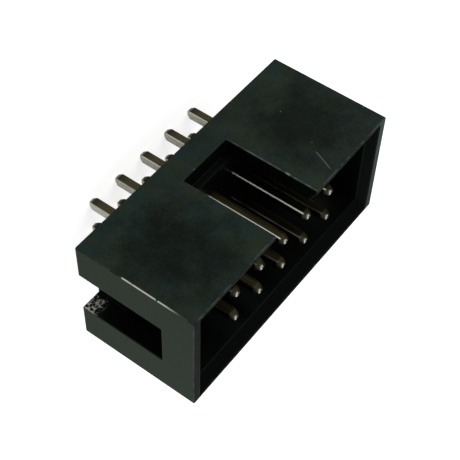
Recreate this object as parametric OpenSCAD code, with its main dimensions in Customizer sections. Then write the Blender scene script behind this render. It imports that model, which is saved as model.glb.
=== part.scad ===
// Two-row shrouded pin header for a flat-cable socket, upright board version.
// Millimetres. The underside of the housing lies on z = 0, with the origin at its
// centre, between the two rows of pins. The mouth looks up, the pins run along X,
// and the long wall with the key notch is on the -Y side.

/* [Contacts] */
// Distance from pin to pin along a row, and from row to row
pitch = 2.54; // [2.4:0.01:2.7]
// Side of the square pin
pin_side = 0.64; // [0.5:0.01:0.7]
// Radius along the four long edges of the pin
pin_edge_r = 0.09; // [0.02:0.01:0.1]
// Height of the mating end of the pin above the seating plane
pin_top = 8.3; // [7.6:0.05:8.7]
// Length of the solder tail below the seating plane
tail_length = 3.45; // [2.4:0.05:4]
// Length of the pyramid point at the mating end
point_length = 0.4; // [0.2:0.05:0.8]
// Length of the pyramid point at the tail end
tail_point_length = 0.3; // [0.2:0.05:0.8]
// Width of the flat left at each end of the pin
point_flat = 0.36; // [0.16:0.04:0.4]

/* [Pin fit in the base] */
// Gap between the pin and its square hole, on each side
hole_clearance = 0.04; // [0.02:0.01:0.08]
// Height of the barbs that grip the hole
barb_height = 0.8; // [0.4:0.1:1]
// Height of the barbs' lower end above the seating plane
barb_start = 0.5; // [0.2:0.1:0.7]
// Width of a barb across the pin's face
barb_width = 0.4; // [0.2:0.05:0.4]

/* [Housing] */
// Distance from the centre of the last pin to the end face
end_reach = 5.08; // [4.98:0.02:5.6]
// Width over the two long walls
body_width = 8.95; // [8.8:0.05:10]
// Height from the seating plane to the mouth
body_height = 8.85; // [8.8:0.05:10]
// Thickness of the two end walls
end_wall = 1.25; // [1:0.05:1.4]
// Thickness of the two long walls
side_wall = 1.25; // [1:0.05:1.4]
// Thickness of the base that holds the pins
base_thickness = 2.4; // [2:0.1:2.8]
// Radius of the four outer upright corners
corner_r = 0.12; // [0.05:0.01:0.3]

/* [Lead-in at the mouth] */
// Width of the slope on the long walls
side_lead = 0.9; // [0.3:0.05:0.9]
// Width of the slope on the end walls
end_lead = 0.65; // [0.3:0.05:0.9]
// Depth of the slopes below the mouth
lead_depth = 0.6; // [0.3:0.05:1]

/* [Key notch] */
// Width of the notch in the long wall
key_width = 4.4; // [4:0.1:4.8]
// Height of the notch's sill above the seating plane, a little below the cavity's floor
key_sill = 1.85; // [1.5:0.05:2]
// Radius of the notch's two lower corners
key_corner_r = 0.1; // [0.05:0.05:0.4]

/* [End slots] */
// Width of the slot in each end wall
slot_width = 3.4; // [2.8:0.1:4]
// Height of the slot's closed end above the seating plane
slot_height = 6.4; // [5:0.1:7.4]
// Depth of the slot into the end of the base
slot_depth = 1.5; // [1.2:0.05:1.9]

/* [Hidden] */

pins_per_row = 5;
plastic = [0.07, 0.08, 0.08];
gold = [0.78, 0.68, 0.42];
facets = 48;
over = 1; // how far a cutter runs past the face that it opens

body_length = (pins_per_row - 1) * pitch + 2 * end_reach;
cavity_length = body_length - 2 * end_wall;
cavity_width = body_width - 2 * side_wall;
hole_side = pin_side + 2 * hole_clearance;

// Odd pins stand on the notch's side. Pin 1 is at the +X end.
function pin_x(number) = pitch * ((pins_per_row - 1) / 2 - floor((number - 1) / 2));
function pin_y(number) = (number % 2 == 1 ? -1 : 1) * pitch / 2;

// Rectangle round the origin with true arcs at its corners
module round_rectangle(length, width, radius) {
    square([length - 2 * radius, width], center = true);
    square([length, width - 2 * radius], center = true);
    for (side_x = [-1, 1], side_y = [-1, 1])
        translate([side_x * (length / 2 - radius), side_y * (width / 2 - radius)])
            circle(r = radius, $fn = facets);
}

// Profile drawn as [across, up], extruded along Y or along X
module along_y(depth) {
    rotate([90, 0, 0]) linear_extrude(height = depth, center = true) children();
}
module along_x(depth) {
    rotate([90, 0, 90]) linear_extrude(height = depth, center = true) children();
}

// Straight pocket of the given width that flares over the lead-in
module flared_profile(width, lead) {
    polygon([
        [-width / 2, base_thickness],
        [width / 2, base_thickness],
        [width / 2, body_height - lead_depth],
        [width / 2 + lead * (1 + over / lead_depth), body_height + over],
        [-width / 2 - lead * (1 + over / lead_depth), body_height + over],
        [-width / 2, body_height - lead_depth]
    ]);
}

// The socket's pocket with its four sloped lips
module cavity() {
    intersection() {
        along_y(2 * body_width) flared_profile(cavity_length, end_lead);
        along_x(2 * body_length) flared_profile(cavity_width, side_lead);
    }
}

// Notch through the long wall for the socket's key
module key_notch() {
    height = body_height + over - key_sill;
    translate([0, side_wall - body_width / 2, key_sill + height / 2])
        rotate([90, 0, 0])
            linear_extrude(height = side_wall + over)
                round_rectangle(key_width, height, key_corner_r);
}

// Slot in one end, open at the board: through the wall, and into the end of the base
module end_slot() {
    translate([body_length / 2 - end_wall, -slot_width / 2, -over])
        cube([end_wall + over, slot_width, slot_height + over]);
    translate([body_length / 2 - slot_depth, -slot_width / 2, -over])
        cube([slot_depth, slot_width, base_thickness + 2 * over]);
}

module pin_hole(number) {
    translate([pin_x(number), pin_y(number), base_thickness / 2])
        cube([hole_side, hole_side, base_thickness + 2 * over], center = true);
}

// One-piece moulded shroud
module housing() {
    color(plastic)
        difference() {
            linear_extrude(height = body_height) round_rectangle(body_length, body_width, corner_r);
            cavity();
            key_notch();
            end_slot();
            mirror([1, 0, 0]) end_slot();
            for (number = [1 : 2 * pins_per_row]) pin_hole(number);
        }
}

// Side view of the pin's outline with both points
module pin_profile() {
    half = pin_side / 2;
    flat = point_flat / 2;
    polygon([
        [-half, tail_point_length - tail_length], [-flat, -tail_length],
        [flat, -tail_length], [half, tail_point_length - tail_length],
        [half, pin_top - point_length], [flat, pin_top],
        [-flat, pin_top], [-half, pin_top - point_length]
    ]);
}

// Barb on the pin's sides along the row: its flank meets the wall of the hole
module barb() {
    reach = hole_side / 2;
    barb_top = barb_start + barb_height;
    along_y(barb_width)
        polygon([
            [-pin_side / 2, barb_start], [pin_side / 2, barb_start],
            [reach, barb_start + barb_height / 2], [reach, barb_top],
            [-reach, barb_top], [-reach, barb_start + barb_height / 2]
        ]);
}

// Square pin with rounded edges, pointed at both ends
module pin(number) {
    color(gold)
        translate([pin_x(number), pin_y(number), 0]) {
            intersection() {
                translate([0, 0, -tail_length - over])
                    linear_extrude(height = pin_top + tail_length + 2 * over)
                        round_rectangle(pin_side, pin_side, pin_edge_r);
                along_y(2 * pin_side) pin_profile();
                along_x(2 * pin_side) pin_profile();
            }
            barb();
        }
}

housing();
pin(1);  // pin_1
pin(2);  // pin_2
pin(3);  // pin_3
pin(4);  // pin_4
pin(5);  // pin_5
pin(6);  // pin_6
pin(7);  // pin_7
pin(8);  // pin_8
pin(9);  // pin_9
pin(10);  // pin_10
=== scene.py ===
import math

import bmesh
import bpy
from mathutils import Matrix, Vector


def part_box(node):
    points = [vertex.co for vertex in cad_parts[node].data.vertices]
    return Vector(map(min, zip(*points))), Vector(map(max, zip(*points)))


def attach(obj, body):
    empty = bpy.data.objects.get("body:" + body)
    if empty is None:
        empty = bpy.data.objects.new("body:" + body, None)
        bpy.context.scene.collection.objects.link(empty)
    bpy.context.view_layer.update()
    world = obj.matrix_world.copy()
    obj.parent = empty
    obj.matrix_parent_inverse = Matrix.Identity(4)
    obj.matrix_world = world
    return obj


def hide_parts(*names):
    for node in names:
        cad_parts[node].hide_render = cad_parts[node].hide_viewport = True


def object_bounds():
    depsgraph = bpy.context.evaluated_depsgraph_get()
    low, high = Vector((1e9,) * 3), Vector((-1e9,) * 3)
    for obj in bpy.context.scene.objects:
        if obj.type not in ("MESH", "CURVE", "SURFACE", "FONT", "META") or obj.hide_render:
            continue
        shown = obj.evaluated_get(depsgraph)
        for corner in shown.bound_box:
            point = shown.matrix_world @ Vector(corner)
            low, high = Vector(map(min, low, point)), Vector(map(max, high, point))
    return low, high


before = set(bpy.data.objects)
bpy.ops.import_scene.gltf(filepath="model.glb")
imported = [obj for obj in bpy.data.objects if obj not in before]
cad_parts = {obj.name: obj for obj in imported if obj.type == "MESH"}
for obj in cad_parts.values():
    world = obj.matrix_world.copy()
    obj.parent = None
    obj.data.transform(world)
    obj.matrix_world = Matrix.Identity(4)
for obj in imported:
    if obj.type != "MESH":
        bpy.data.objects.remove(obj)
cad_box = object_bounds()
MM = 0.001


# ---------------------------------------------------------------------------
# Housing: the shroud, one shot of glass-filled black plastic. Its outer edges are almost
# sharp off the tool, and pale here and there, partly rubbed by handling and partly painted
# highlight.
# ---------------------------------------------------------------------------

class Level:
    """A value that varies over a surface. Arithmetic on it adds the sums to the material."""

    def __init__(self, finish, socket):
        self.finish, self.socket = finish, socket

    def _sum(self, operation, first, second):
        return self.finish.add("ShaderNodeMath", {"operation": operation}, {0: first, 1: second})

    def __add__(self, other): return self._sum("ADD", self, other)
    def __radd__(self, other): return self._sum("ADD", other, self)
    def __sub__(self, other): return self._sum("SUBTRACT", self, other)
    def __rsub__(self, other): return self._sum("SUBTRACT", other, self)
    def __mul__(self, other): return self._sum("MULTIPLY", self, other)
    def __rmul__(self, other): return self._sum("MULTIPLY", other, self)
    def __truediv__(self, other): return self._sum("DIVIDE", self, other)
    def __rtruediv__(self, other): return self._sum("DIVIDE", other, self)
    def __pow__(self, other): return self._sum("POWER", self, other)
    def __neg__(self): return self._sum("MULTIPLY", self, -1.0)
    def __abs__(self): return self._sum("ABSOLUTE", self, 0.0)
    def least(self, other): return self._sum("MINIMUM", self, other)
    def most(self, other): return self._sum("MAXIMUM", self, other)


class Finish:
    """The node tree of one material, or of the room round the object."""

    def __init__(self, owner):
        owner.use_nodes = True
        self.tree = owner.node_tree
        self.tree.nodes.clear()

    def add(self, kind, settings=None, sockets=None, out=0):
        node = self.tree.nodes.new(kind)
        for name, value in (settings or {}).items():
            setattr(node, name, value)
        for key, value in (sockets or {}).items():
            if isinstance(value, Level):
                self.tree.links.new(value.socket, node.inputs[key])
            elif isinstance(key, int) or key in node.inputs:
                node.inputs[key].default_value = value
            else:
                raise KeyError(key)
        return Level(self, node.outputs[out]) if node.outputs else None

    def place(self):
        """Where a point lies on the object, as x, y and z in millimetres."""
        point = self.add("ShaderNodeTexCoord", out=3)
        axes = self.add("ShaderNodeSeparateXYZ", {}, {0: point}).socket.node.outputs
        return point, [Level(self, axes[i]) / MM for i in range(3)]

    def facing(self):
        """The three parts of the surface's own direction, each from -1 to 1."""
        normal = self.add("ShaderNodeNewGeometry", out=1)
        axes = self.add("ShaderNodeSeparateXYZ", {}, {0: normal}).socket.node.outputs
        return [Level(self, axes[i]) for i in range(3)]

    def noise(self, point, size_mm, detail=3.0, rough=0.55, stretch=(1, 1, 1), shift=(0, 0, 0)):
        """Smooth random patches about size_mm across, from 0 to 1."""
        moved = self.add("ShaderNodeMapping", {}, {0: point, "Location": shift, "Scale": stretch})
        return self.add("ShaderNodeTexNoise", {}, {
            "Vector": moved, "Scale": 1 / (size_mm * MM), "Detail": detail, "Roughness": rough})

    def step(self, value, low, high):
        """0 below low and 1 above high, smooth between."""
        return self.add("ShaderNodeMapRange", {"interpolation_type": "SMOOTHSTEP"}, {
            0: value, 1: low, 2: high, 3: 0.0, 4: 1.0})

    def mix(self, share, first, second):
        """first where share is 0 and second where it is 1."""
        return self.add(
            "ShaderNodeMix", {"data_type": "RGBA"}, {0: share, 6: first, 7: second}, out=2)

    def bump(self, height, depth_mm, strength=1.0, under=None):
        """Relief depth_mm deep, laid over the relief under it."""
        sockets = {"Height": height, "Distance": depth_mm * MM, "Strength": strength}
        if under is not None:
            sockets["Normal"] = under
        return self.add("ShaderNodeBump", {}, sockets)


def shade(red, green, blue):
    return (red, green, blue, 1.0)


def piece(name, form, finish):
    """A finished mesh as an object at the origin, riding with the part's one body."""
    mesh = bpy.data.meshes.new(name)
    form.to_mesh(mesh)
    form.free()
    made = bpy.data.objects.new(name, mesh)
    bpy.context.scene.collection.objects.link(made)
    mesh.materials.append(finish)
    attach(made, "root")
    return made


END, SIDE, MOUTH = Vector(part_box("housing")[1]) / MM
EDGE_ROUND = 0.05 * MM
MERGE = 0.0005 * MM
NOTCH_HALF = 2.2
SLOT_HALF = 1.7

shroud = bmesh.new()
shroud.from_mesh(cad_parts["housing"].data)
bmesh.ops.remove_doubles(shroud, verts=shroud.verts, dist=MERGE)
bmesh.ops.dissolve_limit(
    shroud, angle_limit=math.radians(1), verts=shroud.verts, edges=shroud.edges)
for face in shroud.faces:
    face.material_index = 0

black_plastic = bpy.data.materials.new("black_plastic")
finish = Finish(black_plastic)
point, (x, y, z) = finish.place()
nx, ny, nz = finish.facing()
from_end = END - abs(x)
from_side = SIDE - abs(y)
from_mouth = MOUTH - z
keyed_wall = 1 - finish.step(y + SIDE, 0.03, 0.12)

# The outside skin is finely textured and chalky from handling. The pocket, the notch and
# the slots came off polished steel, and are painted near black as painted shade of those recesses.
skin = 1 - finish.step(from_end.least(from_side).least(from_mouth), 0.04, 0.12)
clouds = finish.noise(point, 4.0, 4, 0.6)
patches = finish.noise(point, 1.3, 4, 0.65, shift=(0.3, 0.1, 0.2))
hue = finish.noise(point, 1.1, 2, 0.5, shift=(0.7, 0.4, 0.1))
speckle = finish.noise(point, 0.16, 3, 0.6)
streaks = finish.noise(point, 0.5, 3, 0.6, stretch=(0.25, 1, 1))

# Each half of the keyed wall has sunk a little in the middle, and is rubbed round the hollow.
HOLLOW_X, HOLLOW_Z = 6.4, 4.9
hollow_x = (abs(x) - HOLLOW_X) / 3.4
hollow_z = (z - HOLLOW_Z) / 3.6
hollow = (hollow_x * hollow_x + hollow_z * hollow_z) ** 0.5 + (patches - 0.5) * 0.7
chalk_and_shade = finish.step(hollow, 0.2, 1.5) * keyed_wall + (1 - keyed_wall) * 0.75
chalk_and_shade = 0.15 + chalk_and_shade * (0.2 + clouds * 0.75) + (patches - 0.5) * 0.9 + (speckle - 0.5) * 0.8
# Faces that look up, such as the mouth's rim, get little chalk: painted shade.
chalk_and_shade = finish.step(chalk_and_shade, -0.1, 1.1) * skin * (1 - finish.step(nz, 0.5, 0.9) * 0.85)
dust = finish.mix(
    finish.step(hue, 0.35, 0.65), shade(0.015, 0.030, 0.028), shade(0.021, 0.030, 0.019))
tone = finish.mix(chalk_and_shade, shade(0.0004, 0.0012, 0.0006), dust)
# Both end faces are painted a paler green: painted reflection.
end_reflection = finish.step(abs(nx), 0.8, 0.95) * skin * (0.35 + clouds * 0.7)
tone = finish.mix(end_reflection, tone, shade(0.024, 0.040, 0.022))
# The far end's rim is painted pale as a painted highlight, fading towards +Y as painted shade.
far_rim_highlight = finish.step(nz, 0.8, 0.95) * finish.step(-x, END - 0.9, END - 0.6) * skin
far_rim_highlight = far_rim_highlight * (1.1 - finish.step(y, -3.5, 4.0) * 0.6)
tone = finish.mix(far_rim_highlight, tone, shade(0.055, 0.085, 0.075))

# Rubbed edges, where two outside faces meet, and along the notch: their pale is partly rubbing and
# partly painted highlight.
upright_edge = from_end.most(from_side)
long_edge = from_side.most(from_mouth)
short_edge = from_end.most(from_mouth)
notch_edge = abs(abs(x) - NOTCH_HALF).most(y + SIDE) + (1 - finish.step(z, 1.6, 1.9)) * 9
edge = 1 - finish.step(upright_edge.least(long_edge).least(short_edge).least(notch_edge), 0.0, 0.1)
rubbed_and_highlit = edge * finish.step(finish.noise(point, 0.8, 4, 0.65, shift=(0.5, 0.2, 0.9)), 0.40, 0.60)
tone = finish.mix(rubbed_and_highlit * 0.75, tone, shade(0.10, 0.12, 0.105))

# The corner that has taken the most knocks stands between the keyed wall and the +X end.
# Its pale burr is partly wear and partly a painted highlight.
knock_and_highlight = (1 - finish.step(from_end.most(y + SIDE), 0.03, 0.10)) * finish.step(x, 0, 1)
knock_and_highlight = knock_and_highlight * finish.step(z, 3.5, 3.6) * (1 - finish.step(z, 6.4, 8.0))
knock_and_highlight = knock_and_highlight * finish.step(finish.noise(point, 0.35, 3, 0.7), 0.36, 0.46)
tone = finish.mix(knock_and_highlight, tone, shade(0.80, 0.82, 0.70))

# One fine scratch and a few pin-point marks on the keyed wall, near the mouth.
SCRATCH_X, SCRATCH_Z = -4.87, 6.87
RUN_X, RUN_Z = 0.387, 0.922
along = (x - SCRATCH_X) * RUN_X + (z - SCRATCH_Z) * RUN_Z
across_it = (x - SCRATCH_X) * RUN_Z - (z - SCRATCH_Z) * RUN_X
scratch = (1 - finish.step(abs(across_it), 0.02, 0.055)) * finish.step(along, 0.0, 0.2)
scratch = scratch * (1 - finish.step(along, 1.5, 1.85)) * keyed_wall
dots = finish.add("ShaderNodeTexVoronoi", {}, {"Vector": point, "Scale": 1 / (1.1 * MM)})
dots = (1 - finish.step(dots, 0.03, 0.06)) * finish.step(clouds, 0.5, 0.6) * skin
tone = finish.mix((scratch * 0.6 + dots * 0.7).least(1.0), tone, shade(0.13, 0.17, 0.15))

# A nick in the notch's far edge, and the parts of that edge that catch the light.
NICK_Z = 6.6
past_notch = x + NOTCH_HALF
nick = abs(past_notch + 0.03).most(abs(z - NICK_Z) * 0.3)
nick = (1 - finish.step(nick, 0.02, 0.07)) * keyed_wall
lit_lip = (1 - finish.step(abs(past_notch + 0.02), 0.02, 0.06)) * keyed_wall
lit_lip = lit_lip * finish.step(z, 2.2, 3.0) * finish.step(patches, 0.4, 0.6) * 0.3
tone = finish.mix(nick.most(lit_lip), tone, shade(0.24, 0.26, 0.23))

# Torn skin on the slot's lower side by the board, where the tool's slide shut.
# Its flecks are painted pale: partly torn skin, partly painted light falling in at the slot's open
# end.
torn_and_lit = finish.step(-ny, 0.5, 0.8) * (1 - finish.step(abs(y - SLOT_HALF), 0.02, 0.05))
torn_and_lit = torn_and_lit * (1 - finish.step(z, 0.7, 1.3)) * finish.step(x, END - 1.4, END - 1.0)
flecks = finish.noise(point, 0.17, 3, 0.7, shift=(0.2, 0.6, 0.4))
tone = finish.mix(torn_and_lit * finish.step(flecks, 0.50, 0.60), tone, shade(0.62, 0.64, 0.56))

sheen = 0.34 + skin * 0.08 + clouds * 0.12 + (patches - 0.5) * 0.14 + rubbed_and_highlit * 0.1
relief = finish.bump(speckle * skin + patches * 0.5 + flecks * torn_and_lit * 3, 0.010, 0.7)
relief = finish.bump(streaks, 0.02, 0.4, relief)
surface = finish.add("ShaderNodeBsdfPrincipled", {}, {
    "Base Color": tone, "Roughness": sheen, "Normal": relief, "IOR": 1.25,
    "Specular Tint": shade(0.74, 1.0, 0.78)})
finish.add("ShaderNodeOutputMaterial", {}, {0: surface})

housing = piece("housing_moulding", shroud, black_plastic)
rounding = housing.modifiers.new("edges", "BEVEL")
rounding.width, rounding.segments, rounding.profile = EDGE_ROUND, 2, 0.5
rounding.limit_method, rounding.angle_limit = "ANGLE", math.radians(35)
rounding.use_clamp_overlap = False
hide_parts("housing")


# ---------------------------------------------------------------------------
# Pins: square brass wire with a blunt point at both ends, gold plated above the base and
# tinned below it, pressed up through the base. The plating's tone is darkened as painted shade
# of the black pocket it stands in, and a painted highlight is drawn on the near rows.
# ---------------------------------------------------------------------------

gold_wire = bpy.data.materials.new("gold_wire")
finish = Finish(gold_wire)
point, (x, y, z) = finish.place()
nx, ny, nz = finish.facing()
PITCH = 2.54
ROW = PITCH / 2
column = finish.add("ShaderNodeMath", {"operation": "FRACT"}, {0: x / PITCH + 10.5})
lean_x = (column - 0.5) * PITCH
second_row = finish.step(y, -0.1, 0.1)
lean_y = y + ROW - second_row * PITCH
off_x = abs(lean_x)
off_y = abs(abs(y) - ROW)
drawn = finish.noise(point, 0.12, 3, 0.6, stretch=(1, 1, 0.08))

# Two faces, those along Y, are sheared, dull and brown, and two are rolled and hold the plating;
# the brown is partly painted shade. A painted highlight runs along one corner, brightest on
# the near rows, and round half of each blunt end.
flank = finish.step(abs(ny), 0.75, 0.95)
lit_side = finish.step(lean_x, -0.02, 0.05)
lit_corner = lit_side * (1 - finish.step(lean_y, -0.05, 0.05))
lit_rows = (1 - finish.step(x, 0.9, 1.4) * 0.8) * (1 - second_row * (0.4 + drawn * 0.9))
corner = finish.step(off_x.least(off_y), 0.23, 0.27) * lit_corner * lit_rows
across = off_x.most(off_y)
rim = finish.step(across, 0.05, 0.11) * (1 - finish.step(across, 0.20, 0.24))
rim = finish.step(abs(nz), 0.4, 0.65) * rim * lit_side
tinned = 1 - finish.step(z, 0.0, 1.0)
# The gold above the base is painted near black: painted shade of the pocket.
plating_and_shade = finish.mix(tinned, shade(0.040, 0.033, 0.022), shade(1.0, 1.0, 0.84))
# The faces along Y: painted shade over the sheared finish, darker towards the tail's end.
sheared_shade = finish.mix(
    finish.step(drawn, 0.4, 0.7), shade(0.030, 0.027, 0.012), shade(0.062, 0.054, 0.026))
sheared_tail_shade = finish.mix(
    finish.step(z, -3.3, -2.2), shade(0.020, 0.018, 0.008), shade(0.075, 0.064, 0.020))
sheared_shade = finish.mix(tinned, sheared_shade, sheared_tail_shade)
tone = finish.mix(flank, plating_and_shade, sheared_shade)
painted_highlight = corner.most(rim) * (0.75 + drawn * 0.5)
tone = finish.mix(painted_highlight, tone, shade(1.0, 0.98, 0.86))
sheen = 0.24 + drawn * 0.16 + flank * 0.12 + tinned * 0.22
surface = finish.add("ShaderNodeBsdfPrincipled", {}, {
    "Base Color": tone, "Roughness": sheen, "Metallic": 1 - tinned.most(painted_highlight * 0.7),
    "Normal": finish.bump(drawn, 0.006, 0.5)})
finish.add("ShaderNodeOutputMaterial", {}, {0: surface})

TIP_POINT = 0.4 * MM
TAIL_POINT = 0.3 * MM
POINT_FLAT = 0.36 * MM
LONG_EDGE = 0.05 * MM

for number in range(1, 11):
    low, high = (Vector(c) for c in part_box(f"pin_{number}"))
    middle = (low + high) / 2
    thick = high.y - low.y
    wire = bmesh.new()
    bmesh.ops.create_cube(wire, size=1.0)
    bmesh.ops.scale(wire, vec=(thick, thick, 1.0), verts=wire.verts)
    for sign, reach, point_length in ((-1, low.z, TAIL_POINT), (1, high.z, TIP_POINT)):
        tip = [v for v in wire.verts if v.co.z * sign > 0]
        face = next(f for f in wire.faces if f.normal.z * sign > 0.9)
        for vert in tip:
            vert.co.z = reach - sign * point_length
        grown = bmesh.ops.extrude_discrete_faces(wire, faces=[face])["faces"][0]
        bmesh.ops.translate(wire, vec=(0, 0, sign * point_length), verts=grown.verts)
        narrow = POINT_FLAT / thick
        bmesh.ops.scale(wire, vec=(narrow, narrow, 1), verts=grown.verts)
    bmesh.ops.remove_doubles(wire, verts=wire.verts, dist=MERGE)
    bmesh.ops.bevel(
        wire, geom=wire.edges[:], offset=LONG_EDGE, offset_type="OFFSET", affect="EDGES",
        segments=3, profile=0.5, material=-1)
    bmesh.ops.translate(wire, vec=(middle.x, middle.y, 0), verts=wire.verts)
    bmesh.ops.recalc_face_normals(wire, faces=wire.faces)
    pin = piece(f"pin_{number}_wire", wire, gold_wire)
    pin.data.shade_smooth()
    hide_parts(f"pin_{number}")


# ---------------------------------------------------------------------------
# Table and light: a white sweep under the tails, a broad lamp over each side, and a pale
# room that fades overhead, so that the black moulding still shows its form.
# ---------------------------------------------------------------------------

TABLE_RADIUS = 1.2

sweep = bmesh.new()
bmesh.ops.create_circle(sweep, cap_ends=True, segments=96, radius=TABLE_RADIUS)
bmesh.ops.translate(sweep, vec=(0, 0, cad_box[0].z), verts=sweep.verts)
white_paper = bpy.data.materials.new("white_paper")
finish = Finish(white_paper)
seen = finish.add("ShaderNodeLightPath")
paper = finish.add("ShaderNodeBsdfDiffuse", {}, {"Color": shade(0.8, 0.8, 0.8)})
glow = finish.add("ShaderNodeEmission", {}, {"Color": shade(1, 1, 1), "Strength": seen * 0.75})
both = finish.add("ShaderNodeAddShader", {}, {0: paper, 1: glow})
finish.add("ShaderNodeOutputMaterial", {}, {0: both})
mesh = bpy.data.meshes.new("table")
sweep.to_mesh(mesh)
sweep.free()
table = bpy.data.objects.new("table", mesh)
bpy.context.scene.collection.objects.link(table)
mesh.materials.append(white_paper)

room = bpy.data.worlds.new("room")
bpy.context.scene.world = room
finish = Finish(room)
path = finish.add("ShaderNodeLightPath").socket.node.outputs
camera_ray = Level(finish, path["Is Camera Ray"])
glossy_ray = Level(finish, path["Is Glossy Ray"])
clear_ray = Level(finish, path["Is Transmission Ray"])
direction = finish.add("ShaderNodeTexCoord")
up = Level(finish, finish.add("ShaderNodeSeparateXYZ", {}, {0: direction}).socket.node.outputs[2])
overhead = finish.step(up, -0.1, 0.45)
mirrored = 1 - overhead * 0.9
shown = camera_ray.most(clear_ray)
level = shown + (1 - shown) * (glossy_ray * mirrored + (1 - glossy_ray) * 0.55)
air = finish.add("ShaderNodeBackground", {}, {"Color": shade(1, 1, 1), "Strength": level})
finish.add("ShaderNodeOutputWorld", {}, {0: air})


def lamp(name, place, width, radiance):
    """A square soft lamp that faces the object; radiance is how bright its face looks."""
    light = bpy.data.lights.new(name, "AREA")
    light.shape, light.size = "SQUARE", width
    light.energy = radiance * math.pi * width * width
    made = bpy.data.objects.new(name, light)
    made.location = place
    made.rotation_euler = (-Vector(place)).to_track_quat("-Z", "Y").to_euler()
    bpy.context.scene.collection.objects.link(made)


lamp("key_lamp", (-0.04, -0.18, 0.10), 0.12, 2.0)
lamp("fill_lamp", (0.16, 0.12, 0.10), 0.12, 1.0)

camera_data = bpy.data.cameras.new("camera")
camera_data.lens, camera_data.sensor_width = 88.8, 36.0
camera_data.clip_start, camera_data.clip_end = 0.002, 5.0
camera = bpy.data.objects.new("camera", camera_data)
across = Vector((-0.5983, -0.0247, 0.8009))
upward = Vector((-0.6230, -0.6143, -0.4843))
toward = across.cross(upward)
turn = Matrix((across, upward, toward)).transposed().to_4x4()
camera.matrix_world = Matrix.Translation(Vector((37.56, -57.75, 30.19)) * MM) @ turn
bpy.context.scene.collection.objects.link(camera)
bpy.context.scene.camera = camera
bpy.context.scene.view_settings.view_transform = "Standard"
